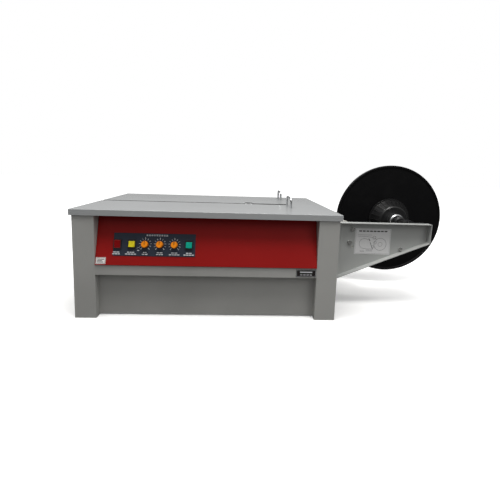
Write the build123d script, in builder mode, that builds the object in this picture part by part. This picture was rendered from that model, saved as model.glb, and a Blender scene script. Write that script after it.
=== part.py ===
"""Semi automatic strapping machine of the low table type, with its strap reel on the right.

Frame: millimetres, +X to the operator's right, +Y away from the operator, +Z up. The origin is on the floor,
under the centre of the table. The reel hangs between two arms at +X.
"""
import os
from math import cos, pi, radians, sin, sqrt

from build123d import *

os.makedirs("parts", exist_ok=True)

# ---- driving dimensions --------------------------------------------------------------------------
sheet = 2.0  # thickness of the cabinet sheet
running_gap = 0.05  # radial clearance of every turning fit

table_length = 900.0
table_depth = 580.0
table_height = 370.0
table_sheet = 3.0
table_edge = 20.0  # height of the folded rim
table_under = table_height - table_sheet

strap_y = -18.0  # the strap travels in this plane, from the reel to the slot
slot_width = 16.0
exit_width = 26.0
slide_x = (128.0, 157.0)  # the slide plate's nose fills the table here
exit_x = 305.0  # right end of the exit slot
loop_x = 298.0  # the strap guide loops stand here
loop_y = ((-132.0, -38.0), (151.0, 241.0))  # front and rear foot of each loop

body_half = 442.0  # outer face of the side frames
leg_inner = 371.0
leg_front = -286.0
leg_return = 54.0  # depth of the folded return of each leg

rail_low = 151.0
rail_high = 184.0
lower_panel_y = -258.0

panel_foot = (-289.0, 186.0)  # y, z of the control panel's lower front edge
panel_head = (-245.0, 346.0)  # y, z of its upper edge
control_height = 70.0  # distance of the row of controls from the panel's lower edge
plate_sheet = 1.0
plate_middle = (-178.5, -1.0)  # of the control plate, from the table's middle and the row of controls
plate_size = (271.0, 76.0)
rocker_u = -300.4  # x of each control
button_u = (-253.1, -64.3)
knob_u = (-209.8, -161.0, -112.6)

arm_web_front = -140.0  # front face of the front arm's web
arm_web_rear = 112.0  # front face of the rear arm's web
arm_sheet = 2.5
arm_flange = 25.0
arm_top = 324.0
arm_end = 836.0
arm_end_low = 250.0
arm_slope = 0.4
roller_points = ((540.0, 296.0), (530.0, 245.0))  # x, z of the strap guide rollers
brake_pivot = (733.0, 221.0)
dancer_point = (585.0, 205.0)
latch_pivot = (825.0, 302.0)
spring_x = 655.0
spring_low = 221.0
spring_high = 295.0
diagram_x = (551.0, 691.0)  # the instruction sheet on the front arm
diagram_z = (199.0, 300.0)

reel_x = 792.0
reel_z = 304.0
reel_radius = 242.0
flange_y = 95.0  # front face of the reel flange
shaft_radius = 10.0
drum_radius = 22.0

cam_axis_z = 225.0
cam_base = 22.0
cam_lift = 8.0
cam_stroke = 150.0  # degrees of cam shaft turn that lift the posts
post_x = (112.5, 142.5, 172.5)
post_size = (20.0, 24.0)
post_top = 351.2

motor_point = (-170.0, 115.0)  # x, z of the main motor's axis
reducer_point = (5.0, 175.0)  # x, z of the reducer's input axis
belt_y = (42.0, 52.0)
motor_pulley_radius = 28.0
reducer_pulley_radius = 55.0
feed_point = (330.0, 245.0)
feed_radius = 25.0
pinch_radius = 15.0


# ---- helpers that add to the part being built ----------------------------------------------------
def block(x, y, z, mode=Mode.ADD):
    """A box between the given ranges."""
    with Locations(((x[0] + x[1]) / 2, (y[0] + y[1]) / 2, (z[0] + z[1]) / 2)):
        Box(x[1] - x[0], y[1] - y[0], z[1] - z[0], mode=mode)


def rod(start, axis, radius, length, mode=Mode.ADD):
    """A cylinder that starts at a point and runs along an axis."""
    with Locations(Plane(origin=start, z_dir=axis)):
        Cylinder(radius, length, align=(Align.CENTER, Align.CENTER, Align.MIN), mode=mode)


def hexagon(start, axis, across_flats, length, mode=Mode.ADD):
    """A hexagonal bolt head or nut that starts at a point and runs along an axis."""
    with BuildSketch(Plane(origin=start, z_dir=axis)) as flats:
        RegularPolygon(across_flats / 2, 6, major_radius=False)
    extrude(flats.sketch, amount=length, mode=mode)


def folded(plane, points, length, thickness, side=Side.LEFT):
    """A folded sheet: an open outline thickened to one side and extruded."""
    with BuildSketch(plane) as profile:
        with BuildLine():
            Polyline(*points)
            offset(amount=thickness, side=side, kind=Kind.INTERSECTION)
        make_face()
    extrude(profile.sketch, amount=length)


def at_y(y):
    """The XZ plane at a depth, with its normal towards the operator."""
    return Plane(origin=(0, y, 0), x_dir=(1, 0, 0), z_dir=(0, -1, 0))


X_AXIS = (1, 0, 0)
Y_AXIS = (0, 1, 0)
Z_AXIS = (0, 0, 1)

# ---- table ---------------------------------------------------------------------------------------
with BuildPart() as table_top:
    half_l = table_length / 2
    half_d = table_depth / 2
    block((-half_l, half_l), (-half_d, half_d), (table_height - table_edge, table_height))
    fillet(table_top.edges().filter_by(Axis.Z), 3)
    fillet(table_top.faces().sort_by(Axis.Z)[-1].edges(), 1.2)
    block(
        (-half_l + sheet, half_l - sheet),
        (-half_d + sheet, half_d - sheet),
        (table_height - table_edge, table_under),
        mode=Mode.SUBTRACT,
    )
    slot = (strap_y - slot_width / 2, strap_y + slot_width / 2)
    exit_slot = (strap_y - exit_width / 2, strap_y + exit_width / 2)
    block((-half_l - 1, slide_x[0]), slot, (table_under - 5, table_height + 1), mode=Mode.SUBTRACT)
    slide_opening = (slide_x[0] - 0.2, slide_x[1] + 0.2)
    block(slide_opening, (-34.4, 24.5), (table_under, table_height), mode=Mode.SUBTRACT)
    block((slide_x[1], exit_x), exit_slot, (table_under, table_height), mode=Mode.SUBTRACT)
    for foot_y in (*loop_y[0], *loop_y[1]):
        rod((loop_x, foot_y, table_under), Z_AXIS, 4 + running_gap, table_sheet, mode=Mode.SUBTRACT)
table_top.part.label = "table_top"
export_step(table_top.part, "parts/table_top.step")

# Two bent rods that keep the strap beside the package, one on each side of the slot.
with BuildPart() as guide_loops:
    loop_height = table_height + 36
    loop_foot = table_under - 6
    bend = 11.0
    for y_front, y_rear in loop_y:
        with BuildLine(Plane.YZ.offset(loop_x)):
            rise = Line((y_front, loop_foot), (y_front, loop_height - bend))
            turn_up = JernArc(rise @ 1, rise % 1, bend, -90)
            run = Line(turn_up @ 1, (y_rear - bend, loop_height))
            turn_down = JernArc(run @ 1, run % 1, bend, -90)
            Line(turn_down @ 1, (y_rear, loop_foot))
        with BuildSketch(Plane(origin=(loop_x, y_front, loop_foot), z_dir=Z_AXIS)):
            Circle(4)
        sweep()
guide_loops.part.label = "guide_loops"
export_step(guide_loops.part, "parts/guide_loops.step")

# The slide plate's nose is flush with the table; its tail runs under the table and retracts to the rear.
with BuildPart() as slide_plate:
    block((100, 185), (-34, 62), (360.5, table_under - 0.2))
    block((slide_x[0] + 0.2, slide_x[1] - 0.2), (-34, -4), (360.5, table_height - 0.2))
    block((60, 100), (40, 62), (360.5, table_under - 0.2))
slide_plate.part.label = "slide_plate"
export_step(slide_plate.part, "parts/slide_plate.step")

with BuildPart() as strap_channel:
    block((-448, 96), (strap_y - 12, strap_y + 12), (361, table_under))
    block((-448, 96), slot, (363, table_under), mode=Mode.SUBTRACT)
strap_channel.part.label = "strap_channel"
export_step(strap_channel.part, "parts/strap_channel.step")


# ---- cabinet -------------------------------------------------------------------------------------
def side_frame(side):
    """One side of the cabinet: side sheet, both legs with their returns, foot plates and table flange."""
    outer = side * body_half
    inner = side * leg_inner
    front_turn = leg_front + leg_return
    shell = [(inner, front_turn), (inner, leg_front), (outer, leg_front)]
    shell += [(outer, -leg_front), (inner, -leg_front), (inner, -front_turn)]
    inward = Side.LEFT if side > 0 else Side.RIGHT
    folded(Plane.XY, shell, table_under, sheet, inward)
    x_range = sorted((outer, inner))
    for y_range in ((leg_front, front_turn), (-front_turn, -leg_front)):
        block(x_range, y_range, (0, 3))
    flange = sorted((outer, side * 400))
    block(flange, (leg_front, -leg_front), (table_under - sheet, table_under))


with BuildPart() as left_side_frame:
    side_frame(-1)
    fillet(left_side_frame.edges().filter_by(Axis.Z).group_by(Axis.X)[0], 1.8)
    block((-450, -399), (strap_y - 13, strap_y + 13), (360, table_under), mode=Mode.SUBTRACT)
left_side_frame.part.label = "left_side_frame"
export_step(left_side_frame.part, "parts/left_side_frame.step")

arm_bolt_places = []
for flange_y_mid in (arm_web_front - 12, arm_web_rear + arm_sheet + 12):
    for bolt_z in (130, 290):
        arm_bolt_places.append((flange_y_mid, bolt_z))

with BuildPart() as right_side_frame:
    side_frame(1)
    fillet(right_side_frame.edges().filter_by(Axis.Z).group_by(Axis.X)[-1], 1.8)
    block((430, 450), (strap_y - 40, strap_y + 40), (240, 300), mode=Mode.SUBTRACT)
    for bolt_y, bolt_z in arm_bolt_places:
        rod((430, bolt_y, bolt_z), X_AXIS, 4 + running_gap, 20, mode=Mode.SUBTRACT)
right_side_frame.part.label = "right_side_frame"
export_step(right_side_frame.part, "parts/right_side_frame.step")

with BuildPart() as front_rail:
    rail = [(-256, rail_low), (leg_front, rail_low), (leg_front, rail_high), (-250, rail_high)]
    folded(Plane.YZ.offset(-leg_inner), rail, 2 * leg_inner, sheet, Side.RIGHT)
front_rail.part.label = "front_rail"
export_step(front_rail.part, "parts/front_rail.step")

with BuildPart() as front_lower_panel:
    lower = [(lower_panel_y + 16, 4), (lower_panel_y, 4), (lower_panel_y, rail_low)]
    folded(Plane.YZ.offset(-leg_inner), lower, 2 * leg_inner, sheet, Side.RIGHT)
front_lower_panel.part.label = "front_lower_panel"
export_step(front_lower_panel.part, "parts/front_lower_panel.step")

# The base plate has turned-down edges, and a box beam welded under its middle that stands on the floor.
with BuildPart() as base_plate:
    block((-440, 440), (-230, 230), (40, 43))
    for y_side in (-1, 1):
        block((-440, 440), sorted((y_side * 230, y_side * 228)), (22, 40))
    block((-440, 440), (-30, 30), (0, 40))
    block((-440, 440), (-27, 27), (3, 40), mode=Mode.SUBTRACT)
base_plate.part.label = "base_plate"
export_step(base_plate.part, "parts/base_plate.step")

rear_screw_places = [(x, z) for x in (-378, 378) for z in (60, 185, 320)]
with BuildPart() as rear_panel:
    block((-384, 384), (286, 288), (28, 344))
    with BuildSketch(Plane(origin=(0, 288, 190), x_dir=X_AXIS, z_dir=(0, -1, 0))):
        with GridLocations(150, 20, 4, 9):
            SlotOverall(100, 6)
    extrude(amount=10, both=True, mode=Mode.SUBTRACT)
rear_panel.part.label = "rear_panel"
export_step(rear_panel.part, "parts/rear_panel.step")

with BuildPart() as rear_panel_screws:
    for x, z in rear_screw_places:
        rod((x, 288, z), Y_AXIS, 4, 2)
    fillet(rear_panel_screws.faces().filter_by(Axis.Y).group_by(Axis.Y)[-1].edges(), 1)
rear_panel_screws.part.label = "rear_panel_screws"
export_step(rear_panel_screws.part, "parts/rear_panel_screws.step")

# ---- slanted control panel and its controls ------------------------------------------------------
panel_run = panel_head[0] - panel_foot[0]
panel_rise = panel_head[1] - panel_foot[1]
panel_slant = sqrt(panel_run**2 + panel_rise**2)
panel_normal = (0, -panel_rise / panel_slant, panel_run / panel_slant)
panel_up = (0, panel_run / panel_slant, panel_rise / panel_slant)


def on_panel(u, v, w=0.0):
    """Plane of the control panel, moved u to the right, v up the slant and w outwards."""
    face = Plane(origin=(0, panel_foot[0], panel_foot[1]), x_dir=X_AXIS, z_dir=panel_normal)
    return Plane(origin=face.from_local_coords((u, v, w)), x_dir=X_AXIS, z_dir=panel_normal)


housing_hole = (22.0, 28.0)
bezel = (26.0, 32.0)
bezel_height = 3.0

with BuildPart() as front_control_panel:
    panel_line = [(-268, panel_foot[1]), panel_foot, panel_head, (-239, panel_head[1])]
    folded(Plane.YZ.offset(-370), panel_line, 740, sheet, Side.RIGHT)
    with BuildSketch(on_panel(0, control_height)):
        with Locations((rocker_u, 0), (button_u[0], 0), (button_u[1], 0)):
            Rectangle(*housing_hole)
        with Locations(*[(u, 0) for u in knob_u]):
            Circle(5)
    extrude(amount=6, both=True, mode=Mode.SUBTRACT)
front_control_panel.part.label = "front_control_panel"
export_step(front_control_panel.part, "parts/front_control_panel.step")

with BuildPart() as control_plate:
    with BuildSketch(on_panel(0, control_height)):
        with Locations(plate_middle):
            Rectangle(*plate_size)
        with Locations((rocker_u, 0), (button_u[0], 0), (button_u[1], 0)):
            Rectangle(*housing_hole, mode=Mode.SUBTRACT)
        with Locations(*[(u, 0) for u in knob_u]):
            Circle(5, mode=Mode.SUBTRACT)
    extrude(amount=plate_sheet)
control_plate.part.label = "control_plate"
export_step(control_plate.part, "parts/control_plate.step")

# Three housings: a bezel on the plate and a body behind the panel, with a well for the rocker or the button.
rocker_size = (20.0, 26.4)
button_size = (20.0, 20.0)
well_floor = -9.0
with BuildPart() as switch_housings:
    for u, (width, height) in ((rocker_u, rocker_size), (button_u[0], button_size), (button_u[1], button_size)):
        with BuildSketch(on_panel(u, control_height, plate_sheet)):
            RectangleRounded(*bezel, 2)
        extrude(amount=bezel_height)
        with BuildSketch(on_panel(u, control_height, -24)):
            Rectangle(21.9, 27.9)
        extrude(amount=24 + plate_sheet)
        with BuildSketch(on_panel(u, control_height, well_floor)):
            Rectangle(width + 0.4, height + 0.4)
        extrude(amount=20, mode=Mode.SUBTRACT)
switch_housings.part.label = "switch_housings"
export_step(switch_housings.part, "parts/switch_housings.step")

# The rocker is a slab cut from a drum about its pivot, and rests tipped to the off side.
rocker_tilt = 8.0
rocker_centre = on_panel(rocker_u, control_height, 1.5).origin
with BuildPart() as power_rocker:
    tipped_up = [
        up * cos(radians(rocker_tilt)) + out * sin(radians(rocker_tilt))
        for up, out in zip(panel_up, panel_normal)
    ]
    with BuildSketch(Plane(origin=rocker_centre, x_dir=tipped_up, z_dir=X_AXIS)):
        Circle(13.2)
        with Locations((0, 14.5)):
            Rectangle(40, 20, mode=Mode.SUBTRACT)
        with Locations((0, -15)):
            Rectangle(40, 20, mode=Mode.SUBTRACT)
    extrude(amount=rocker_size[0] / 2, both=True)
power_rocker.part.label = "power_rocker"
export_step(power_rocker.part, "parts/power_rocker.step")

button_travel = 3.0


def push_button(u):
    """A square cap with rounded edges that sits in its housing's well."""
    with BuildSketch(on_panel(u, control_height, well_floor + button_travel + 1)) as cap:
        RectangleRounded(*button_size, 1.5)
    extrude(cap.sketch, amount=14)


with BuildPart() as yellow_button:
    push_button(button_u[0])
    fillet(yellow_button.faces().sort_by(Axis(rocker_centre, panel_normal))[-1].edges(), 1)
yellow_button.part.label = "yellow_button"
export_step(yellow_button.part, "parts/yellow_button.step")

with BuildPart() as green_button:
    push_button(button_u[1])
    fillet(green_button.faces().sort_by(Axis(rocker_centre, panel_normal))[-1].edges(), 1)
green_button.part.label = "green_button"
export_step(green_button.part, "parts/green_button.step")


def dial_knob(u):
    """A skirted knob with a raised cap, a pointer groove and the spindle that carries it."""
    for low, radius, height, taper in ((0.3, 12.5, 6, 6), (6.3, 10.8, 8, 4), (-15, 3, 16, 0)):
        with BuildSketch(on_panel(u, control_height, plate_sheet + low)) as step:
            Circle(radius)
        extrude(step.sketch, amount=height, taper=taper)
    with BuildSketch(on_panel(u, control_height + 5, plate_sheet + 13.5)) as pointer:
        Rectangle(2, 12)
    extrude(pointer.sketch, amount=4, mode=Mode.SUBTRACT)


with BuildPart() as time_knob:
    dial_knob(knob_u[0])
time_knob.part.label = "time_knob"
export_step(time_knob.part, "parts/time_knob.step")

with BuildPart() as tension_knob:
    dial_knob(knob_u[1])
tension_knob.part.label = "tension_knob"
export_step(tension_knob.part, "parts/tension_knob.step")

with BuildPart() as heat_knob:
    dial_knob(knob_u[2])
heat_knob.part.label = "heat_knob"
export_step(heat_knob.part, "parts/heat_knob.step")

with BuildPart() as potentiometers:
    for u in knob_u:
        with BuildSketch(on_panel(u, control_height, -2 - 14)):
            Circle(9)
        extrude(amount=14)
        with BuildSketch(on_panel(u, control_height, -2)):
            Circle(4.5)
        extrude(amount=2 + plate_sheet)
        with BuildSketch(on_panel(u, control_height, -20)):
            Circle(3 + running_gap)
        extrude(amount=30, mode=Mode.SUBTRACT)
potentiometers.part.label = "potentiometers"
export_step(potentiometers.part, "parts/potentiometers.step")

with BuildPart() as nameplate:
    block((300, 368), (-287, leg_front), (155, 181))
nameplate.part.label = "nameplate"
export_step(nameplate.part, "parts/nameplate.step")

# ---- reel arms -----------------------------------------------------------------------------------
arm_low = arm_end_low - arm_slope * (arm_end - body_half)


def reel_arm(web_y, outward):
    """A tapering sheet pan: web, and flanges folded all round towards the outside."""
    web_rear = web_y + arm_sheet if outward < 0 else web_y
    outline = [(body_half, arm_low), (arm_end, arm_end_low), (arm_end, arm_top), (body_half, arm_top)]
    total = arm_flange + arm_sheet
    with BuildSketch(at_y(web_rear)) as pan:
        Polygon(*outline, align=None)
    extrude(pan.sketch, amount=-outward * total)
    with BuildSketch(at_y(web_rear + outward * arm_sheet)) as hollow:
        Polygon(*outline, align=None)
        offset(amount=-arm_sheet, kind=Kind.INTERSECTION, mode=Mode.REPLACE)
    extrude(hollow.sketch, amount=-outward * arm_flange, mode=Mode.SUBTRACT)
    for x, z in roller_points:
        rod((x, web_y - 5, z), Y_AXIS, 5 + running_gap, 15, mode=Mode.SUBTRACT)
    for bolt_y, bolt_z in arm_bolt_places:
        if abs(bolt_y - web_y) < 30:
            rod((430, bolt_y, bolt_z), X_AXIS, 4 + running_gap, 20, mode=Mode.SUBTRACT)


arm_web_back = arm_web_front + arm_sheet

# The front arm also carries the welded studs of the shaft latch and of the brake spring.
with BuildPart() as front_reel_arm:
    reel_arm(arm_web_front, -1)
    rod((544, arm_web_front - 1, 227), Y_AXIS, 4, 10, mode=Mode.SUBTRACT)
    rod((brake_pivot[0], arm_web_front - 1, brake_pivot[1]), Y_AXIS, 5 + running_gap, 10, mode=Mode.SUBTRACT)
    rod((latch_pivot[0], arm_web_back, latch_pivot[1]), Y_AXIS, 4, 27)
    rod((latch_pivot[0], arm_web_back, latch_pivot[1]), Y_AXIS, 7, 20)
    rod((spring_x, arm_web_back, spring_high + 4), Y_AXIS, 4, 70)
front_reel_arm.part.label = "front_reel_arm"
export_step(front_reel_arm.part, "parts/front_reel_arm.step")

with BuildPart() as instruction_sheet:
    block(diagram_x, (arm_web_front - 0.4, arm_web_front), diagram_z)
instruction_sheet.part.label = "instruction_sheet"
export_step(instruction_sheet.part, "parts/instruction_sheet.step")

with BuildPart() as rear_reel_arm:
    reel_arm(arm_web_rear, 1)
    notch = shaft_radius + 1
    block((reel_x - notch, reel_x + notch), (100, 145), (reel_z, 330), mode=Mode.SUBTRACT)
    rod((reel_x, 100, reel_z), Y_AXIS, notch, 45, mode=Mode.SUBTRACT)
rear_reel_arm.part.label = "rear_reel_arm"
export_step(rear_reel_arm.part, "parts/rear_reel_arm.step")

with BuildPart() as arm_bolts:
    for y, z in arm_bolt_places:
        hexagon((body_half + arm_sheet, y, z), X_AXIS, 13, 5.3)
        rod((430, y, z), X_AXIS, 4, body_half + arm_sheet - 430)
        hexagon((433, y, z), X_AXIS, 13, body_half - sheet - 433)
arm_bolts.part.label = "arm_bolts"
export_step(arm_bolts.part, "parts/arm_bolts.step")

# Two long bolts join the arms and carry the strap guide rollers; a short one is the brake lever's pivot.
with BuildPart() as arm_spindles:
    for (x, z), flats, end_y in (
        (roller_points[0], 15, arm_web_rear + arm_sheet + 10),
        (roller_points[1], 15, arm_web_rear + arm_sheet + 10),
        (brake_pivot, 13, -56),
    ):
        hexagon((x, arm_web_front, z), (0, -1, 0), flats, 6)
        rod((x, arm_web_front, z), Y_AXIS, 5, end_y - arm_web_front)
        hexagon((x, end_y - 10, z), Y_AXIS, flats, 7)
arm_spindles.part.label = "arm_spindles"
export_step(arm_spindles.part, "parts/arm_spindles.step")


def strap_roller(x, z, radius):
    """A flanged roller in the strap's plane, bored for a 10 mm spindle."""
    rod((x, strap_y - 25, z), Y_AXIS, radius, 50)
    for y in (strap_y - 29, strap_y + 25):
        rod((x, y, z), Y_AXIS, radius + 4, 4)
    rod((x, strap_y - 30, z), Y_AXIS, 5 + running_gap, 60, mode=Mode.SUBTRACT)


with BuildPart() as upper_guide_roller:
    strap_roller(*roller_points[0], 14)
upper_guide_roller.part.label = "upper_guide_roller"
export_step(upper_guide_roller.part, "parts/upper_guide_roller.step")

with BuildPart() as lower_guide_roller:
    strap_roller(*roller_points[1], 14)
lower_guide_roller.part.label = "lower_guide_roller"
export_step(lower_guide_roller.part, "parts/lower_guide_roller.step")

with BuildPart() as dancer_roller:
    strap_roller(*dancer_point, 14)
dancer_roller.part.label = "dancer_roller"
export_step(dancer_roller.part, "parts/dancer_roller.step")


def bar(start, end, width, y, thickness):
    """A flat bar with round ends between two points x, z, growing towards +Y."""
    with BuildSketch(at_y(y)) as outline:
        with Locations(start, end):
            Circle(width / 2)
        make_hull()
    extrude(outline.sketch, amount=-thickness)


# The lever pivots on the third spindle: its short arm carries the pad, its long arm the dancer roller.
lever_y = -79.0
lever_sheet = 8.0
pad_arm_end = (756.0, 304.0)
with BuildPart() as brake_lever:
    bar(brake_pivot, pad_arm_end, 16, lever_y, lever_sheet)
    bar(brake_pivot, dancer_point, 18, lever_y, lever_sheet)
    rod((brake_pivot[0], lever_y - 12, brake_pivot[1]), Y_AXIS, 13, 24)
    rod((brake_pivot[0], lever_y - 13, brake_pivot[1]), Y_AXIS, 5 + running_gap, 30, mode=Mode.SUBTRACT)
    rod((dancer_point[0], lever_y, dancer_point[1]), Y_AXIS, 5, 100)
brake_lever.part.label = "brake_lever"
export_step(brake_lever.part, "parts/brake_lever.step")

drum_y = (-90.0, -60.0)
with BuildPart() as brake_pad:
    block((748, reel_x - 8), (-88, -62), (288, 322))
    block((740, 764.2), (-90, -60), (280, 330), mode=Mode.SUBTRACT)
    rod((reel_x, -95, reel_z), Y_AXIS, drum_radius + 0.1, 40, mode=Mode.SUBTRACT)
brake_pad.part.label = "brake_pad"
export_step(brake_pad.part, "parts/brake_pad.step")

with BuildPart() as brake_spring:
    spring_radius = 6.0
    spring_y = lever_y + lever_sheet / 2
    with BuildLine(Plane(origin=(spring_x, spring_y, spring_low + 2.6))) as coil:
        Helix(pitch=4.4, height=spring_high - spring_low - 4, radius=spring_radius)
    with BuildSketch(Plane(origin=coil.line @ 0, z_dir=coil.line % 0)):
        Circle(1)
    sweep(is_frenet=True)
brake_spring.part.label = "brake_spring"
export_step(brake_spring.part, "parts/brake_spring.step")

# Open-topped cradles that carry the shaft's ends, welded to the arms' webs.
with BuildPart() as shaft_saddles:
    for y_range in ((arm_web_front + arm_sheet, -117.5), (arm_web_rear + arm_sheet, 134.5)):
        block((reel_x - 25, reel_x + 25), y_range, (270, 320))
        rod((reel_x, y_range[0], reel_z), Y_AXIS, shaft_radius + running_gap, 30, mode=Mode.SUBTRACT)
        opening = (reel_x - shaft_radius - running_gap, reel_x + shaft_radius + running_gap)
        block(opening, y_range, (reel_z, 321), mode=Mode.SUBTRACT)
shaft_saddles.part.label = "shaft_saddles"
export_step(shaft_saddles.part, "parts/shaft_saddles.step")

with BuildPart() as shaft_latch:
    with BuildSketch(at_y(-117)):
        hook = [(774, 314.4), (817, 314.4), (817, 293), (832.5, 293), (832.5, 323.5), (774, 323.5)]
        Polygon(*hook, align=None)
    extrude(amount=-5)
    rod((latch_pivot[0], -120, latch_pivot[1]), Y_AXIS, 4 + running_gap, 20, mode=Mode.SUBTRACT)
shaft_latch.part.label = "shaft_latch"
export_step(shaft_latch.part, "parts/shaft_latch.step")

# ---- reel ----------------------------------------------------------------------------------------
with BuildPart() as reel_shaft:
    rod((reel_x, -136.5, reel_z), Y_AXIS, shaft_radius, 270)
    rod((reel_x, drum_y[0], reel_z), Y_AXIS, drum_radius, drum_y[1] - drum_y[0])
    chamfer(reel_shaft.faces().filter_by(Axis.Y).group_by(Axis.Y)[0].edges(), 1.5)
reel_shaft.part.label = "reel_shaft"
export_step(reel_shaft.part, "parts/reel_shaft.step")


def turned(points):
    """Revolve an outline of (radius, y) points about the reel's axis."""
    section = Plane(origin=(reel_x, 0, reel_z), x_dir=X_AXIS, z_dir=Z_AXIS)
    with BuildSketch(section) as half:
        Polygon(*points, align=None)
    revolve(half.sketch, axis=Axis((reel_x, 0, reel_z), Y_AXIS))


flange_back = flange_y + 5
with BuildPart() as reel_flange:
    rim = [(60, flange_y), (reel_radius - 12, flange_y), (reel_radius - 9, flange_y - 3)]
    rim += [(reel_radius - 3, flange_y - 3), (reel_radius, flange_y), (reel_radius, flange_back + 2)]
    rim += [(reel_radius - 3, flange_back + 2), (reel_radius - 6, flange_back), (60, flange_back)]
    turned(rim)
    with BuildSketch(at_y(flange_back)):
        with Locations((reel_x, reel_z)):
            with PolarLocations(148, 12):
                Rectangle(150, 3)
    extrude(amount=-4)
reel_flange.part.label = "reel_flange"
export_step(reel_flange.part, "parts/reel_flange.step")

# The hub is a hollow cone with a ribbed flank; its spigot fills the flange's opening.
hub_front = flange_y - 50
with BuildPart() as hub_rib:
    with BuildSketch(Plane(origin=(reel_x, 0, reel_z), x_dir=X_AXIS, z_dir=Z_AXIS)):
        Polygon((57, hub_front + 6), (66, hub_front + 5), (89, flange_y - 5), (80, flange_y - 3), align=None)
    extrude(amount=1.5, both=True)
reel_axis = Axis((reel_x, 0, reel_z), Y_AXIS)
hub_ribs = [hub_rib.part.rotate(reel_axis, angle) for angle in range(0, 360, 15)]

with BuildPart() as reel_hub:
    cone = [(shaft_radius, hub_front), (58, hub_front), (63, hub_front + 4), (84, flange_y - 4)]
    cone += [(92, flange_y - 4), (92, flange_y), (60, flange_y), (60, flange_back)]
    cone += [(52, flange_back), (52, hub_front + 8), (20, hub_front + 8), (20, flange_back)]
    cone += [(shaft_radius, flange_back)]
    turned(cone)
    add(hub_ribs)
reel_hub.part.label = "reel_hub"
export_step(reel_hub.part, "parts/reel_hub.step")

collar_front = hub_front - 30
with BuildPart() as hub_collar:
    turned([(shaft_radius, collar_front), (28, collar_front), (31, collar_front + 3),
            (31, hub_front), (shaft_radius, hub_front)])
hub_collar.part.label = "hub_collar"
export_step(hub_collar.part, "parts/hub_collar.step")

nut_front = collar_front - 28
with BuildPart() as hub_nut:
    turned([(shaft_radius, nut_front), (19, nut_front), (25, nut_front + 5),
            (26, collar_front), (shaft_radius, collar_front)])
    with Locations(Plane(origin=(reel_x, nut_front, reel_z), z_dir=Y_AXIS)):
        with PolarLocations(27.5, 8):
            Cylinder(4, 60, mode=Mode.SUBTRACT)
hub_nut.part.label = "hub_nut"
export_step(hub_nut.part, "parts/hub_nut.step")

# ---- sealing head --------------------------------------------------------------------------------
with BuildPart() as head_frame:
    block((-60, 224), (-70, 34), (144, 150))
    for x_range in ((-60, -54), (218, 224)):
        block(x_range, (-70, 34), (43, 144))
    for x_range in ((80, 90), (196, 206)):
        block(x_range, (-70, 34), (150, 330))
    block((206, 226), (-66, -44), (300, 322))
    rod((216, -55, 322), Z_AXIS, 4, 36)
    rod((60, strap_y, cam_axis_z), X_AXIS, shaft_radius + running_gap, 160, mode=Mode.SUBTRACT)
head_frame.part.label = "head_frame"
export_step(head_frame.part, "parts/head_frame.step")

with BuildPart() as head_block:
    block((90, 196), (-43, 7), (290, 345))
    with BuildSketch(Plane.XY.offset(280)):
        with Locations(*[(x, strap_y) for x in post_x]):
            Rectangle(post_size[0] + 2 * running_gap, post_size[1] + 2 * running_gap)
    extrude(amount=80, mode=Mode.SUBTRACT)
head_block.part.label = "head_block"
export_step(head_block.part, "parts/head_block.step")

foot_radius = 8.0
foot_z = cam_axis_z + cam_base + foot_radius + 0.12


def post(x):
    """A square post that slides in the head block, with a round foot that rides on its cam."""
    half_x, half_y = post_size[0] / 2, post_size[1] / 2
    block((x - half_x, x + half_x), (strap_y - half_y, strap_y + half_y), (foot_z + 4, post_top))
    block((x - 6, x + 6), (strap_y - 6, strap_y + 6), (foot_z - 1, foot_z + 5))
    rod((x - 6, strap_y, foot_z), X_AXIS, foot_radius, 12)


def gripper_teeth(x):
    """Cross grooves on the top of a gripper post."""
    for step in range(-3, 4):
        rod((x - 12, strap_y + step * 3, post_top), X_AXIS, 0.8, 24, mode=Mode.SUBTRACT)


with BuildPart() as left_gripper:
    post(post_x[0])
    gripper_teeth(post_x[0])
left_gripper.part.label = "left_gripper"
export_step(left_gripper.part, "parts/left_gripper.step")

with BuildPart() as press_cutter:
    post(post_x[1])
    chamfer(press_cutter.edges().filter_by(Axis.Y).group_by(Axis.Z)[-1].sort_by(Axis.X)[-1], 3)
press_cutter.part.label = "press_cutter"
export_step(press_cutter.part, "parts/press_cutter.step")

with BuildPart() as right_gripper:
    post(post_x[2])
    gripper_teeth(post_x[2])
right_gripper.part.label = "right_gripper"
export_step(right_gripper.part, "parts/right_gripper.step")

# Each cam rises evenly over the stroke, dwells, and falls back to its base circle.
cam_dwell = 20.0
cam_fall = 60.0


def cam_radius(turn):
    """Radius that meets the foot after the shaft has turned this many degrees from rest."""
    if turn <= cam_stroke:
        return cam_base + cam_lift * turn / cam_stroke
    past = turn - cam_stroke - cam_dwell
    if past <= 0:
        return cam_base + cam_lift
    return cam_base + cam_lift * (1 + cos(pi * min(past / cam_fall, 1))) / 2


with BuildPart() as cam_shaft:
    rod((50.2, strap_y, cam_axis_z), X_AXIS, shaft_radius, 164)
    rod((54, strap_y, cam_axis_z), X_AXIS, 18, 24)
    rim_points = []
    for turn in range(0, 360, 5):
        angle = radians(90 - turn)
        rim_points.append((strap_y + cam_radius(turn) * cos(angle), cam_axis_z + cam_radius(turn) * sin(angle)))
    for x in post_x:
        with BuildSketch(Plane.YZ.offset(x - 5)):
            Polygon(*rim_points, align=None)
        extrude(amount=10)
cam_shaft.part.label = "cam_shaft"
export_step(cam_shaft.part, "parts/cam_shaft.step")

with BuildPart() as heater_arm:
    with BuildSketch(Plane.XY.offset(352)):
        with Locations((216, -55), (168, -62)):
            Circle(8)
        make_hull()
    extrude(amount=5)
    block((126, 168), (-64, -48), (354, 355.2))
    rod((216, -55, 350), Z_AXIS, 4 + running_gap, 10, mode=Mode.SUBTRACT)
heater_arm.part.label = "heater_arm"
export_step(heater_arm.part, "parts/heater_arm.step")

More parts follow.
